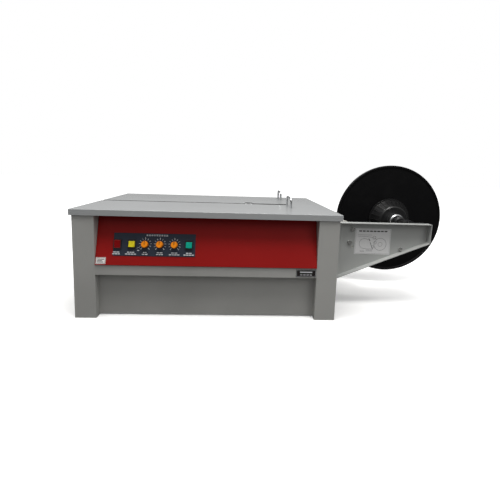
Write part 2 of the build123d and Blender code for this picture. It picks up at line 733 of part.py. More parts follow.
# ---- drive ---------------------------------------------------------------------------------------
with BuildPart() as reducer_gearbox:
    block((-42, 50), (-62, 24), (150, 272))
    fillet(reducer_gearbox.edges().filter_by(Axis.Z), 8)
    rod((reducer_point[0], 24, reducer_point[1]), Y_AXIS, 20, 6)
    for step in range(4):
        block((-30 + step * 20, -22 + step * 20), (-66, -62), (165, 262))
    rod((reducer_point[0], -30, reducer_point[1]), Y_AXIS, 8 + running_gap, 70, mode=Mode.SUBTRACT)
reducer_gearbox.part.label = "reducer_gearbox"
export_step(reducer_gearbox.part, "parts/reducer_gearbox.step")


def belt_pulley(point, radius, shaft_start, shaft_end):
    """A grooved pulley fixed on its shaft; the groove takes the belt."""
    x, z = point
    width = belt_y[1] - belt_y[0]
    rod((x, belt_y[0] - 6, z), Y_AXIS, radius + 4, width + 12)
    rod((x, belt_y[0] - 0.1, z), Y_AXIS, radius + 10, width + 0.2, mode=Mode.SUBTRACT)
    rod((x, belt_y[0] - 6, z), Y_AXIS, radius - 4.1, width + 12)
    rod((x, shaft_start, z), Y_AXIS, 8, shaft_end - shaft_start)


with BuildPart() as reducer_pulley:
    belt_pulley(reducer_point, reducer_pulley_radius, -28, 62)
reducer_pulley.part.label = "reducer_pulley"
export_step(reducer_pulley.part, "parts/reducer_pulley.step")

motor_face = 76.0
with BuildPart() as motor_pulley:
    belt_pulley(motor_point, motor_pulley_radius, 32, motor_face + 45)
motor_pulley.part.label = "motor_pulley"
export_step(motor_pulley.part, "parts/motor_pulley.step")

with BuildPart() as drive_belt:
    places = (reducer_point, motor_point)
    radii = (reducer_pulley_radius, motor_pulley_radius)
    for grow, mode in ((3.0, Mode.ADD), (-4.0, Mode.SUBTRACT)):
        with BuildSketch(at_y(belt_y[0])):
            for place, radius in zip(places, radii):
                with Locations(place):
                    Circle(radius + grow)
            make_hull()
        extrude(amount=belt_y[0] - belt_y[1], mode=mode)
drive_belt.part.label = "drive_belt"
export_step(drive_belt.part, "parts/drive_belt.step")

with BuildPart() as main_motor:
    x, z = motor_point
    rod((x, motor_face, z), Y_AXIS, 62, 160)
    fillet(main_motor.edges().filter_by(GeomType.CIRCLE), 8)
    block((x - 55, x + 55), (motor_face + 30, motor_face + 130), (43, 70))
    block((x - 30, x + 30), (motor_face + 50, motor_face + 110), (z + 50, z + 84))
    rod((x, motor_face - 5, z), Y_AXIS, 8 + running_gap, 60, mode=Mode.SUBTRACT)
main_motor.part.label = "main_motor"
export_step(main_motor.part, "parts/main_motor.step")

# ---- strap feed ----------------------------------------------------------------------------------
pinch_x = feed_point[0] - feed_radius - pinch_radius - 0.6
with BuildPart() as feed_bracket:
    for y_range in ((-52, -46), (10, 16)):
        block((pinch_x - 25, 375), y_range, (150, 300))
    block((pinch_x - 25, 375), (-52, 16), (144, 150))
    block((pinch_x - 25, pinch_x - 20), (-52, 16), (43, 144))
    block((370, 375), (-52, 16), (43, 144))
    for x, radius in ((feed_point[0], 8), (pinch_x, 5)):
        rod((x, -60, feed_point[1]), Y_AXIS, radius + running_gap, 90, mode=Mode.SUBTRACT)
feed_bracket.part.label = "feed_bracket"
export_step(feed_bracket.part, "parts/feed_bracket.step")

with BuildPart() as feed_motor:
    rod((feed_point[0], -170, feed_point[1]), Y_AXIS, 38, 118)
    fillet(feed_motor.edges().filter_by(GeomType.CIRCLE).group_by(Axis.Y)[0], 5)
    rod((feed_point[0], -90, feed_point[1]), Y_AXIS, 8 + running_gap, 60, mode=Mode.SUBTRACT)
feed_motor.part.label = "feed_motor"
export_step(feed_motor.part, "parts/feed_motor.step")

with BuildPart() as feed_roller:
    rod((feed_point[0], -88, feed_point[1]), Y_AXIS, 8, 112)
    rod((feed_point[0], strap_y - 12, feed_point[1]), Y_AXIS, feed_radius, 24)
feed_roller.part.label = "feed_roller"
export_step(feed_roller.part, "parts/feed_roller.step")

with BuildPart() as pinch_roller:
    rod((pinch_x, -50, feed_point[1]), Y_AXIS, 5, 70)
    rod((pinch_x, strap_y - 12, feed_point[1]), Y_AXIS, pinch_radius, 24)
pinch_roller.part.label = "pinch_roller"
export_step(pinch_roller.part, "parts/pinch_roller.step")

with BuildPart() as strap_chute:
    nip_x = pinch_x + pinch_radius + 0.3
    with BuildLine(Plane.XZ.offset(-strap_y)) as chute_line:
        climb = Line((nip_x, feed_point[1] + 32), (nip_x, 310))
        TangentArc(climb @ 1, (nip_x - 60, 355), tangent=climb % 1)
    for width, height, mode in ((24, 7, Mode.ADD), (17, 3, Mode.SUBTRACT)):
        with BuildSketch(Plane(origin=chute_line.line @ 0, x_dir=Y_AXIS, z_dir=Z_AXIS)):
            Rectangle(width, height)
        sweep(path=chute_line.line, mode=mode)
strap_chute.part.label = "strap_chute"
export_step(strap_chute.part, "parts/strap_chute.step")

with BuildPart() as strap_entry_guide:
    block((body_half, body_half + 4), (strap_y - 48, strap_y + 48), (232, 308))
    block((body_half - 6, body_half), (strap_y - 39.8, strap_y + 39.8), (240.2, 299.8))
    fillet(strap_entry_guide.edges().filter_by(Axis.X).group_by(Axis.Z)[-1], 6)
    block((430, 450), (strap_y - 30, strap_y + 30), (250, 290), mode=Mode.SUBTRACT)
strap_entry_guide.part.label = "strap_entry_guide"
export_step(strap_entry_guide.part, "parts/strap_entry_guide.step")

# ---- electrics -----------------------------------------------------------------------------------
with BuildPart() as transformer:
    block((-350, -260), (-60, 20), (43, 118))
    block((-365, -245), (-48, 8), (58, 104))
    block((-355, -255), (-80, 40), (43, 46))
transformer.part.label = "transformer"
export_step(transformer.part, "parts/transformer.step")

with BuildPart() as circuit_board:
    block((-431.6, -430), (-180, -20), (150, 300))
    for y in (-170, -30):
        for z in (160, 290):
            rod((-440, y, z), X_AXIS, 3, 9)
    for step in range(4):
        block((-430, -412), (-165 + step * 34, -141 + step * 34), (240, 262))
    block((-430, -422), (-150, -110), (180, 215))
    for step in range(3):
        rod((-430, -90 + step * 20, 195), X_AXIS, 7, 24)
circuit_board.part.label = "circuit_board"
export_step(circuit_board.part, "parts/circuit_board.step")
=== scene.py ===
"""Looks of the semi automatic strapping machine: materials, printed details, studio and camera.

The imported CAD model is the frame. Lengths are in metres.
"""
from math import atan2, cos, hypot, pi, radians, sin

import bmesh
import bpy
from mathutils import Matrix, Vector


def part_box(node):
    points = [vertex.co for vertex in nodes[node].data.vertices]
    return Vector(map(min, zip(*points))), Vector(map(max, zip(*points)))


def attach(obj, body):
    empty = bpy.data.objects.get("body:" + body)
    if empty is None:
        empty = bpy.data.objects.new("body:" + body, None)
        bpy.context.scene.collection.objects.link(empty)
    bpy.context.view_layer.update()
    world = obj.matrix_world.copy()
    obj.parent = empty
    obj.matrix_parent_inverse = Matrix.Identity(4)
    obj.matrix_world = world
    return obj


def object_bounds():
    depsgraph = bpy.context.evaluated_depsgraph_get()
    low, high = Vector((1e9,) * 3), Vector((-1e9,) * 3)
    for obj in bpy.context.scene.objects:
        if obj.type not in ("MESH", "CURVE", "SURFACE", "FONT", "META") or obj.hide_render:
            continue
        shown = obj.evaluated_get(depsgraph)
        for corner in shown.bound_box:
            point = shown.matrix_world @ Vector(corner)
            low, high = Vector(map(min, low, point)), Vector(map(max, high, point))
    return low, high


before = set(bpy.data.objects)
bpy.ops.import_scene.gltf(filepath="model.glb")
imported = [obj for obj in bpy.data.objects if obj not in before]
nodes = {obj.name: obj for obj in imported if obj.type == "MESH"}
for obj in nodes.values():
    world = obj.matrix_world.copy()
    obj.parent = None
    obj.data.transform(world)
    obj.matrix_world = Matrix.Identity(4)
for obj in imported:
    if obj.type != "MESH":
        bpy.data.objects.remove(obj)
cad_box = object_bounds()
MM = 0.001
EDGE_ROUND = 0.7 * MM  # shading only: folded and cut edges catch the light as a small radius does


# ---- node graphs ---------------------------------------------------------------------------------
class Graph:
    """A material's node tree, with short names for the nodes used most."""

    def __init__(self, name):
        self.material = bpy.data.materials.new(name)
        self.material.use_nodes = True
        self.tree = self.material.node_tree
        self.surface = self.tree.nodes["Principled BSDF"]
        self.place = self.node("ShaderNodeTexCoord").outputs["Object"]

    def node(self, kind, **settings):
        made = self.tree.nodes.new(kind)
        for key, value in settings.items():
            setattr(made, key, value)
        return made

    def put(self, socket, value):
        """Link an output to an input, or set the input's value."""
        if isinstance(value, bpy.types.NodeSocket):
            self.tree.links.new(value, socket)
        elif isinstance(value, tuple) and len(value) == 3 and socket.type == "RGBA":
            socket.default_value = (*value, 1)
        else:
            socket.default_value = value

    def stretched(self, scale, turn=(0, 0, 0)):
        """The object's coordinates, scaled per axis and turned."""
        mapping = self.node("ShaderNodeMapping")
        self.put(mapping.inputs["Vector"], self.place)
        self.put(mapping.inputs["Scale"], Vector(scale))
        self.put(mapping.inputs["Rotation"], Vector(turn))
        return mapping.outputs["Vector"]

    def noise(self, scale, detail=4.0, rough=0.5, vector=None, distortion=0.0):
        made = self.node("ShaderNodeTexNoise")
        self.put(made.inputs["Vector"], vector or self.place)
        self.put(made.inputs["Scale"], scale)
        self.put(made.inputs["Detail"], detail)
        self.put(made.inputs["Roughness"], rough)
        self.put(made.inputs["Distortion"], distortion)
        return made.outputs["Fac"]

    def ramp(self, value, low, high, out_low=0.0, out_high=1.0):
        made = self.node("ShaderNodeMapRange", interpolation_type="SMOOTHSTEP")
        self.put(made.inputs["Value"], value)
        self.put(made.inputs["From Min"], low)
        self.put(made.inputs["From Max"], high)
        self.put(made.inputs["To Min"], out_low)
        self.put(made.inputs["To Max"], out_high)
        return made.outputs["Result"]

    def math(self, operation, a, b=0.0, clamp=False):
        made = self.node("ShaderNodeMath", operation=operation, use_clamp=clamp)
        self.put(made.inputs[0], a)
        self.put(made.inputs[1], b)
        return made.outputs["Value"]

    def mix(self, amount, a, b):
        made = self.node("ShaderNodeMix", data_type="RGBA")
        self.put(made.inputs["Factor"], amount)
        self.put(made.inputs[6], a)
        self.put(made.inputs[7], b)
        return made.outputs[2]

    def axis(self, name):
        split = self.node("ShaderNodeSeparateXYZ")
        self.put(split.inputs["Vector"], self.place)
        return split.outputs[name]

    def rounded(self, radius):
        """Normals as if sharp edges were rounded."""
        made = self.node("ShaderNodeBevel", samples=4)
        self.put(made.inputs["Radius"], radius)
        return made.outputs["Normal"]

    def edge(self, radius):
        """About 1 along sharp edges and 0 on flat faces."""
        flat = self.node("ShaderNodeNewGeometry").outputs["Normal"]
        product = self.node("ShaderNodeVectorMath", operation="DOT_PRODUCT")
        self.put(product.inputs[0], self.rounded(radius))
        self.put(product.inputs[1], flat)
        bend = self.math("SUBTRACT", 1.0, product.outputs["Value"])
        return self.ramp(bend, 0.02, 0.25)

    def bump(self, height, distance):
        """A fine relief on top of the rounded edges, this deep in metres."""
        made = self.node("ShaderNodeBump")
        self.put(made.inputs["Height"], height)
        self.put(made.inputs["Distance"], distance)
        self.put(made.inputs["Normal"], self.rounded(EDGE_ROUND))
        self.put(self.surface.inputs["Normal"], made.outputs["Normal"])

    def finish(self, color, roughness, metallic=0.0, coat=0.0, specular=0.5):
        self.put(self.surface.inputs["Base Color"], color)
        self.put(self.surface.inputs["Roughness"], roughness)
        self.put(self.surface.inputs["Metallic"], metallic)
        self.put(self.surface.inputs["Coat Weight"], coat)
        self.put(self.surface.inputs["Coat Roughness"], 0.15)
        self.put(self.surface.inputs["Specular IOR Level"], specular)
        return self.material


# ---- materials -----------------------------------------------------------------------------------
def shade(color, factor):
    return tuple(channel * factor for channel in color)


def painted(name, color, roughness, peel=0.00006, wear=0.35):
    """Powder-coated sheet: orange peel, soft colour drift, faint scuffs, paint thin along the folds."""
    g = Graph(name)
    drift = g.noise(3.5, 3.0)
    base = g.mix(g.ramp(drift, 0.3, 0.7), shade(color, 0.94), shade(color, 1.06))
    grime = g.ramp(g.noise(22.0, 6.0, 0.65), 0.55, 0.8)
    base = g.mix(g.math("MULTIPLY", grime, 0.16), base, shade(color, 0.72))
    worn = g.math("MULTIPLY", g.edge(0.0012), g.ramp(g.noise(60.0, 5.0), 0.42, 0.62))
    base = g.mix(g.math("MULTIPLY", worn, wear), base, shade(color, 1.45))
    scuff = g.ramp(g.noise(40.0, 8.0, 0.7, g.stretched((1, 6, 9), (0.3, 0.2, 0.5))), 0.6, 0.75)
    rough = g.math("ADD", roughness, g.math("MULTIPLY", g.math("SUBTRACT", drift, 0.5), 0.14))
    rough = g.math("ADD", rough, g.math("MULTIPLY", scuff, 0.1), clamp=True)
    g.bump(g.noise(900.0, 2.0, 0.4), peel)
    return g.finish(base, rough)


def bare_metal(name, color, roughness, grain, scale, dirt=0.25, room=0.3, metallic=1.0):
    """Ground, turned or plated metal with fine grain and a little tarnish.

    Faces that look down or to the right are darker, as if they mirrored a dark room.
    """
    g = Graph(name)
    lines = g.noise(scale, 4.0, 0.6, g.stretched(grain))
    tarnish = g.ramp(g.noise(35.0, 5.0, 0.6), 0.5, 0.75)
    base = g.mix(lines, shade(color, 0.82), shade(color, 1.1))
    base = g.mix(g.math("MULTIPLY", tarnish, dirt), base, shade(color, 0.45))
    facing = g.node("ShaderNodeSeparateXYZ")
    g.put(facing.inputs["Vector"], g.node("ShaderNodeNewGeometry").outputs["Normal"])
    away = g.math("SUBTRACT", facing.outputs["Z"], g.math("MULTIPLY", facing.outputs["X"], 0.6))
    base = g.mix(g.ramp(away, -0.7, 0.35), shade(color, room), base)
    rough = g.math("ADD", roughness, g.math("MULTIPLY", lines, 0.12))
    rough = g.math("ADD", rough, g.math("MULTIPLY", tarnish, 0.15), clamp=True)
    g.bump(lines, 0.00004)
    return g.finish(base, rough, metallic=metallic)


def moulded(name, color, roughness, grain=0.00003, scuffs=0.2, coat=0.0, specular=0.5):
    """Moulded plastic or rubber: fine grain, faint flow marks, lighter rubbed edges and scuffs."""
    g = Graph(name)
    flow = g.noise(9.0, 4.0, 0.55, distortion=0.8)
    base = g.mix(flow, shade(color, 0.85), shade(color, 1.15))
    rub = g.ramp(g.noise(70.0, 8.0, 0.75, g.stretched((1, 4, 1.5), (0.2, 0.5, 0.9))), 0.58, 0.72)
    pale = tuple(channel * 0.8 + 0.05 for channel in color)
    base = g.mix(g.math("MULTIPLY", rub, scuffs), base, pale)
    base = g.mix(g.math("MULTIPLY", g.edge(0.0008), 0.35), base, pale)
    rough = g.math("ADD", roughness, g.math("MULTIPLY", g.math("SUBTRACT", flow, 0.5), 0.18), clamp=True)
    g.bump(g.noise(1400.0, 2.0, 0.5), grain)
    return g.finish(base, rough, coat=coat, specular=specular)


def red_paint():
    """Deep red gloss enamel on the slanted panel."""
    g = Graph("red_enamel")
    drift = g.noise(4.0, 3.0)
    base = g.mix(drift, (0.265, 0.0052, 0.0048), (0.335, 0.0085, 0.007))
    grime = g.ramp(g.noise(30.0, 6.0, 0.65), 0.55, 0.8)
    base = g.mix(g.math("MULTIPLY", grime, 0.2), base, (0.17, 0.005, 0.0045))
    worn = g.math("MULTIPLY", g.edge(0.001), g.ramp(g.noise(80.0, 5.0), 0.45, 0.6))
    base = g.mix(g.math("MULTIPLY", worn, 0.4), base, (0.5, 0.06, 0.05))
    rough = g.math("ADD", 0.34, g.math("MULTIPLY", drift, 0.12))
    g.bump(g.noise(700.0, 2.0, 0.4), 0.00005)
    return g.finish(base, rough, specular=0.22)


SLOT_Y = -18.0 * MM  # the slot runs along this line
SLOT_REACH = 60.0 * MM  # all edges of the slot and of the slide plate's opening are this near to it


def table_paint():
    """Semi-gloss paint, polished by packages, with fine rub marks; faces below the top near the slot are
    painted near-black as shade.
    """
    g = Graph("table_paint")
    drift = g.noise(3.0, 3.0)
    base = g.mix(drift, (0.39, 0.402, 0.408), (0.43, 0.443, 0.449))
    along = g.ramp(g.noise(30.0, 8.0, 0.72, g.stretched((0.6, 14, 1), (0, 0, 0.12))), 0.60, 0.74)
    across = g.ramp(g.noise(26.0, 8.0, 0.72, g.stretched((13, 0.7, 1), (0, 0, -0.2))), 0.63, 0.76)
    marks = g.math("MAXIMUM", along, across)
    base = g.mix(g.math("MULTIPLY", marks, 0.13), base, (0.62, 0.64, 0.65))
    worn = g.math("MULTIPLY", g.edge(0.0014), g.ramp(g.noise(50.0, 5.0), 0.4, 0.6))
    base = g.mix(g.math("MULTIPLY", worn, 0.5), base, (0.60, 0.61, 0.61))
    # painted shade: faces deeper than the top surface, near the slot line and inside the table's width,
    # are coloured near-black in place of the shadow inside the slot
    low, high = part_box("table_top")
    below = g.ramp(g.axis("Z"), high.z - 0.6 * MM, high.z - 0.2 * MM, 1.0, 0.0)
    across_slot = g.math("ABSOLUTE", g.math("SUBTRACT", g.axis("Y"), SLOT_Y))
    in_slot = g.math("LESS_THAN", across_slot, SLOT_REACH)
    within = g.math("LESS_THAN", g.math("ABSOLUTE", g.axis("X")), high.x - 1.0 * MM)
    slot_shade = g.math("MULTIPLY", below, g.math("MULTIPLY", in_slot, within))
    base = g.mix(slot_shade, base, (0.018, 0.018, 0.018))
    rough = g.math("ADD", 0.17, g.math("MULTIPLY", marks, 0.16))
    rough = g.math("ADD", rough, g.math("MULTIPLY", g.math("SUBTRACT", drift, 0.5), 0.1), clamp=True)
    g.bump(g.noise(650.0, 2.0, 0.4), 0.00004)
    return g.finish(base, rough, coat=0.2)


def reel_plastic():
    """Black moulded flange: turned arcs about the shaft, dust and handling scuffs."""
    g = Graph("reel_plastic")
    low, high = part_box("reel_flange")
    centre = (low + high) / 2
    dx = g.math("SUBTRACT", g.axis("X"), centre.x)
    dz = g.math("SUBTRACT", g.axis("Z"), centre.z)
    radius = g.math("SQRT", g.math("ADD", g.math("MULTIPLY", dx, dx), g.math("MULTIPLY", dz, dz)))
    join = g.node("ShaderNodeCombineXYZ")
    g.put(join.inputs["X"], g.math("MULTIPLY", radius, 260.0))
    arcs = g.noise(1.0, 5.0, 0.65, join.outputs["Vector"])
    scuff = g.ramp(g.noise(38.0, 8.0, 0.78, g.stretched((1, 1, 4), (0, 0.7, 0))), 0.60, 0.74)
    dust = g.ramp(g.noise(12.0, 6.0, 0.6), 0.45, 0.8)
    base = g.mix(arcs, (0.0015, 0.0015, 0.0018), (0.003, 0.003, 0.0034))
    base = g.mix(g.math("MULTIPLY", dust, 0.12), base, (0.03, 0.03, 0.03))
    base = g.mix(g.math("MULTIPLY", scuff, 0.22), base, (0.045, 0.045, 0.047))
    base = g.mix(g.math("MULTIPLY", g.edge(0.0012), 0.4), base, (0.05, 0.05, 0.052))
    rough = g.math("ADD", 0.40, g.math("MULTIPLY", arcs, 0.16))
    rough = g.math("ADD", rough, g.math("MULTIPLY", scuff, 0.12), clamp=True)
    g.bump(g.math("ADD", arcs, g.noise(1200.0, 2.0)), 0.00005)
    return g.finish(base, rough, specular=0.13)


CAP_FOOT = 7.3 * MM  # height above the slanted panel where a knob's cap meets its skirt
POINTER_FLOOR = 14.5 * MM  # height of the floor of a knob's pointer groove


def knob_plastic():
    """Black skirt, orange cap and a blackened pointer groove, told apart by height above the panel."""
    g = Graph("knob_plastic")
    height = g.node("ShaderNodeVectorMath", operation="DOT_PRODUCT")
    g.put(height.inputs[0], g.place)
    height.inputs[1].default_value = PANEL_NORMAL
    above = g.math("SUBTRACT", height.outputs["Value"], PANEL_ORIGIN.dot(PANEL_NORMAL))
    is_cap = g.ramp(above, CAP_FOOT - 0.05 * MM, CAP_FOOT + 0.05 * MM)
    mottle = g.noise(90.0, 4.0)
    orange = g.mix(mottle, (0.86, 0.22, 0.003), (1.0, 0.32, 0.006))
    black = g.mix(mottle, (0.010, 0.010, 0.011), (0.018, 0.018, 0.019))
    base = g.mix(is_cap, black, orange)
    base = g.mix(g.math("MULTIPLY", g.edge(0.0007), 0.25), base, (0.9, 0.5, 0.12))
    off_floor = g.math("ABSOLUTE", g.math("SUBTRACT", above, POINTER_FLOOR))
    base = g.mix(g.ramp(off_floor, 0.08 * MM, 0.14 * MM, 1.0, 0.0), base, black)
    g.bump(g.noise(1500.0, 2.0), 0.00002)
    return g.finish(base, g.math("ADD", 0.3, g.math("MULTIPLY", mottle, 0.12)), specular=0.3)


def button_plastic(name, color):
    """A translucent lens cap: mottled colour, paler along its edges, with a little subsurface
    scattering.
    """
    g = Graph(name)
    mottle = g.noise(120.0, 3.0)
    base = g.mix(mottle, shade(color, 0.88), shade(color, 1.1))
    base = g.mix(g.math("MULTIPLY", g.edge(0.0012), 0.3), base, tuple(c * 0.6 + 0.25 for c in color))
    g.put(g.surface.inputs["Subsurface Weight"], 0.12)
    g.put(g.surface.inputs["Subsurface Radius"], Vector((0.003, 0.003, 0.003)))
    g.bump(g.noise(1600.0, 2.0), 0.00002)
    return g.finish(base, g.math("ADD", 0.24, g.math("MULTIPLY", mottle, 0.1)), coat=0.04, specular=0.25)


def printed_film(name, color, roughness):
    """Printed film or paper: faint mottling and a few dirty spots."""
    g = Graph(name)
    base = g.mix(g.noise(60.0, 5.0, 0.6), shade(color, 0.93), shade(color, 1.05))
    spots = g.ramp(g.noise(45.0, 7.0, 0.7), 0.62, 0.78)
    base = g.mix(g.math("MULTIPLY", spots, 0.25), base, shade(color, 0.6))
    g.bump(g.noise(500.0, 3.0), 0.00002)
    return g.finish(base, g.math("ADD", roughness, g.math("MULTIPLY", spots, 0.15)), specular=0.3)


PANEL_RUN = 44.0  # the slanted panel leans back by this much
PANEL_RISE = 160.0  # over this height
panel_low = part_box("front_control_panel")[0]
PANEL_ORIGIN = Vector((0.0, panel_low.y, panel_low.z))
PANEL_UP = Vector((0.0, PANEL_RUN, PANEL_RISE)).normalized()
PANEL_NORMAL = Vector((0.0, -PANEL_RISE, PANEL_RUN)).normalized()

cabinet_paint = painted("cabinet_paint", (0.43, 0.43, 0.412), 0.44)
arm_paint = painted("arm_paint", (0.415, 0.425, 0.415), 0.40)
chrome = bare_metal("chrome", (0.86, 0.87, 0.88), 0.06, (1, 1, 1), 300.0, 0.08)
zinc = bare_metal("zinc_plate", (0.62, 0.62, 0.60), 0.14, (1, 1, 1), 240.0, 0.25, 0.1, 0.85)
turned_steel = bare_metal("turned_steel", (0.70, 0.71, 0.72), 0.2, (1, 60, 1), 30.0)
ground_steel = bare_metal("ground_steel", (0.60, 0.61, 0.62), 0.28, (40, 1, 1), 40.0)
brass = bare_metal("brass", (0.62, 0.43, 0.16), 0.28, (1, 1, 1), 150.0)
aluminium = bare_metal("aluminium", (0.62, 0.62, 0.63), 0.38, (1, 1, 1), 120.0, 0.3)
cast_iron = painted("cast_iron_paint", (0.06, 0.075, 0.085), 0.5, 0.0003, 0.5)
black_oxide = painted("black_oxide", (0.018, 0.018, 0.02), 0.36, 0.00005, 0.6)
motor_paint = painted("motor_paint", (0.045, 0.06, 0.075), 0.4, 0.0001, 0.5)
black_plastic = moulded("black_plastic", (0.012, 0.012, 0.013), 0.38)
hub_plastic = moulded("hub_plastic", (0.008, 0.008, 0.0085), 0.33, scuffs=0.3)
nylon = moulded("white_nylon", (0.62, 0.61, 0.56), 0.42, scuffs=0.1)
black_rubber = moulded("black_rubber", (0.016, 0.016, 0.016), 0.7, 0.00012, 0.15, specular=0.3)
circuit_green = moulded("circuit_green", (0.012, 0.075, 0.03), 0.35, scuffs=0.05, coat=0.3)
slate_film = printed_film("slate_film", (0.027, 0.035, 0.054), 0.40)
name_film = printed_film("name_film", (0.016, 0.012, 0.012), 0.30)
paper = printed_film("paper", (0.74, 0.74, 0.742), 0.55)
white_print = printed_film("white_print", (0.72, 0.74, 0.76), 0.5)
dark_print = printed_film("dark_print", (0.03, 0.03, 0.032), 0.5)
grey_print = printed_film("grey_print", (0.16, 0.16, 0.165), 0.5)
label_white = printed_film("label_white", (0.82, 0.80, 0.78), 0.4)

finish_of = {
    table_paint(): ("table_top",),
    cabinet_paint: ("left_side_frame", "right_side_frame", "front_rail", "front_lower_panel",
                    "rear_panel", "base_plate", "feed_bracket"),
    arm_paint: ("front_reel_arm", "rear_reel_arm"),
    red_paint(): ("front_control_panel",),
    chrome: ("guide_loops",),
    zinc: ("arm_bolts", "arm_spindles", "rear_panel_screws", "strap_chute", "shaft_saddles"),
    turned_steel: ("hub_collar", "cam_shaft", "feed_roller"),
    ground_steel: ("slide_plate", "strap_channel", "brake_lever", "brake_spring", "left_gripper",
                   "press_cutter", "right_gripper"),
    brass: ("heater_arm",),
    aluminium: ("head_block", "reducer_gearbox"),
    cast_iron: ("head_frame", "reducer_pulley", "motor_pulley"),
    black_oxide: ("reel_shaft", "shaft_latch", "transformer"),
    motor_paint: ("main_motor", "feed_motor"),
    black_plastic: ("switch_housings", "potentiometers", "strap_entry_guide", "hub_nut"),
    nylon: ("upper_guide_roller", "lower_guide_roller", "dancer_roller"),
    black_rubber: ("brake_pad", "drive_belt", "pinch_roller"),
    circuit_green: ("circuit_board",),
    slate_film: ("control_plate",),
    name_film: ("nameplate",),
    paper: ("instruction_sheet",),
    reel_plastic(): ("reel_flange",),
    hub_plastic: ("reel_hub",),
    knob_plastic(): ("time_knob", "tension_knob", "heat_knob"),
    button_plastic("red_lens", (0.27, 0.002, 0.003)): ("power_rocker",),
    button_plastic("yellow_lens", (0.80, 0.68, 0.02)): ("yellow_button",),
    button_plastic("green_lens", (0.003, 0.42, 0.30)): ("green_button",),
}
for finish, names in finish_of.items():
    for name in names:
        slots = nodes[name].data.materials
        slots.clear()
        slots.append(finish)


# ---- printed details -----------------------------------------------------------------------------
PRINT_HEIGHT = 0.12 * MM
RIGHT = Vector((1.0, 0.0, 0.0))
UPRIGHT = Vector((0.0, 0.0, 1.0))


class Print:
    """Thin raised marks on a flat face. Their places are in millimetres from an origin on that face."""

    def __init__(self, origin, up):
        self.origin = origin
        self.up = up
        self.out = RIGHT.cross(up)
        self.build = bmesh.new()

    def outline(self, points):
        """A raised flat shape, from its corners taken anticlockwise."""
        base = [self.build.verts.new(self.origin + MM * (x * RIGHT + y * self.up)) for x, y in points]
        top = [self.build.verts.new(vert.co + PRINT_HEIGHT * self.out) for vert in base]
        self.build.faces.new(top)
        self.build.faces.new(base[::-1])
        for i in range(len(base)):
            after = (i + 1) % len(base)
            self.build.faces.new((base[i], base[after], top[after], top[i]))

    def bar(self, x, y, length, width, turn=0.0):
        """A bar with clipped corners about its middle, turned anticlockwise."""
        a, b = length / 2, width / 2
        clip = min(a, b) * 0.4
        corners = ((a, -b + clip), (a, b - clip), (a - clip, b), (clip - a, b),
                   (-a, b - clip), (-a, clip - b), (clip - a, -b), (a - clip, -b))
        c, s = cos(turn), sin(turn)
        self.outline([(x + p * c - q * s, y + p * s + q * c) for p, q in corners])

    def stroke(self, start, end, width):
        run, rise = end[0] - start[0], end[1] - start[1]
        middle = ((start[0] + end[0]) / 2, (start[1] + end[1]) / 2)
        self.bar(*middle, hypot(run, rise), width, atan2(rise, run))

    def path(self, points, width):
        for start, end in zip(points, points[1:]):
            self.stroke(start, end, width)

    def arc(self, x, y, radius, width, start=0.0, sweep=2 * pi, steps=28):
        """A ring or part of one, as a chain of short bars."""
        places = [start + sweep * i / steps for i in range(steps + 1)]
        self.path([(x + radius * cos(angle), y + radius * sin(angle)) for angle in places], width)

    def frame(self, low, high, width):
        """A rectangular border through two opposite corners."""
        corners = [low, (high[0], low[1]), high, (low[0], high[1]), low]
        self.path(corners, width)

    def piece(self, name, finish):
        """Make the marks one object that belongs to the cabinet."""
        mesh = bpy.data.meshes.new(name)
        self.build.normal_update()
        self.build.to_mesh(mesh)
        self.build.free()
        mesh.materials.append(finish)
        made = bpy.data.objects.new(name, mesh)
        bpy.context.scene.collection.objects.link(made)
        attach(made, "cabinet")


def middle_of(node):
    """Middle of a node's box, along the panel: (millimetres to the right, millimetres up the slant)."""
    low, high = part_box(node)
    middle = (low + high) / 2 - PANEL_ORIGIN
    return middle.x / MM, middle.dot(PANEL_UP) / MM


KNOBS = ("time_knob", "tension_knob", "heat_knob")
PLATE_TOP = 1.0 * MM  # the control plate's thickness above the panel
# Print places and sizes below are in millimetres.
DIAL_TURN = radians(280)
DIAL_MARKS = 11
DIAL_START = 15.2  # a dial's marks run out from this radius
LONG_MARK = (22.5, 1.7)  # outer radius and width, for every fifth mark
SHORT_MARK = (21.0, 1.2)
TITLE_MARKS = 9
TITLE_PITCH = 8.2
TITLE_SHIFT = -10.5  # the title's middle, from the middle knob
TITLE_ROWS = (31.4, 28.4)  # two thin bars make one sign of the title
CAPTION_ROWS = (-27.5, -33.5)
WORD = 9.0  # about the length of a word in a caption
CAPTIONS = (  # control, shift to the right, length of the upper and of the lower line
    ("power_rocker", -3, 22, 26),
    ("yellow_button", -3, 25, 38),
    ("time_knob", 0, 13, 20),
    ("tension_knob", 0, 20, 24),
    ("heat_knob", 0, 22, 36),
    ("green_button", 0, 20, 36),
)
STICKER_PLACE = (2.0, 3.0)  # lower left corner, from the red panel's lower left corner
STICKER_SIZE = (32.0, 22.0)
STICKER_BORDER = 1.6


def dial_scale(marks, x, y):
    """Radial marks about a knob's middle."""
    for i in range(DIAL_MARKS):
        angle = pi / 2 + DIAL_TURN * (0.5 - i / (DIAL_MARKS - 1))
        reach, width = LONG_MARK if i % 5 == 0 else SHORT_MARK
        near = (x + DIAL_START * cos(angle), y + DIAL_START * sin(angle))
        far = (x + reach * cos(angle), y + reach * sin(angle))
        marks.stroke(near, far, width)


def caption_line(marks, x, y, length):
    """A row of bars in place of words."""
    words = max(2, round(length / WORD))
    share = length / words
    for i in range(words):
        marks.bar(x + share * (i - (words - 1) / 2), y, share - 1.4, 3.0)


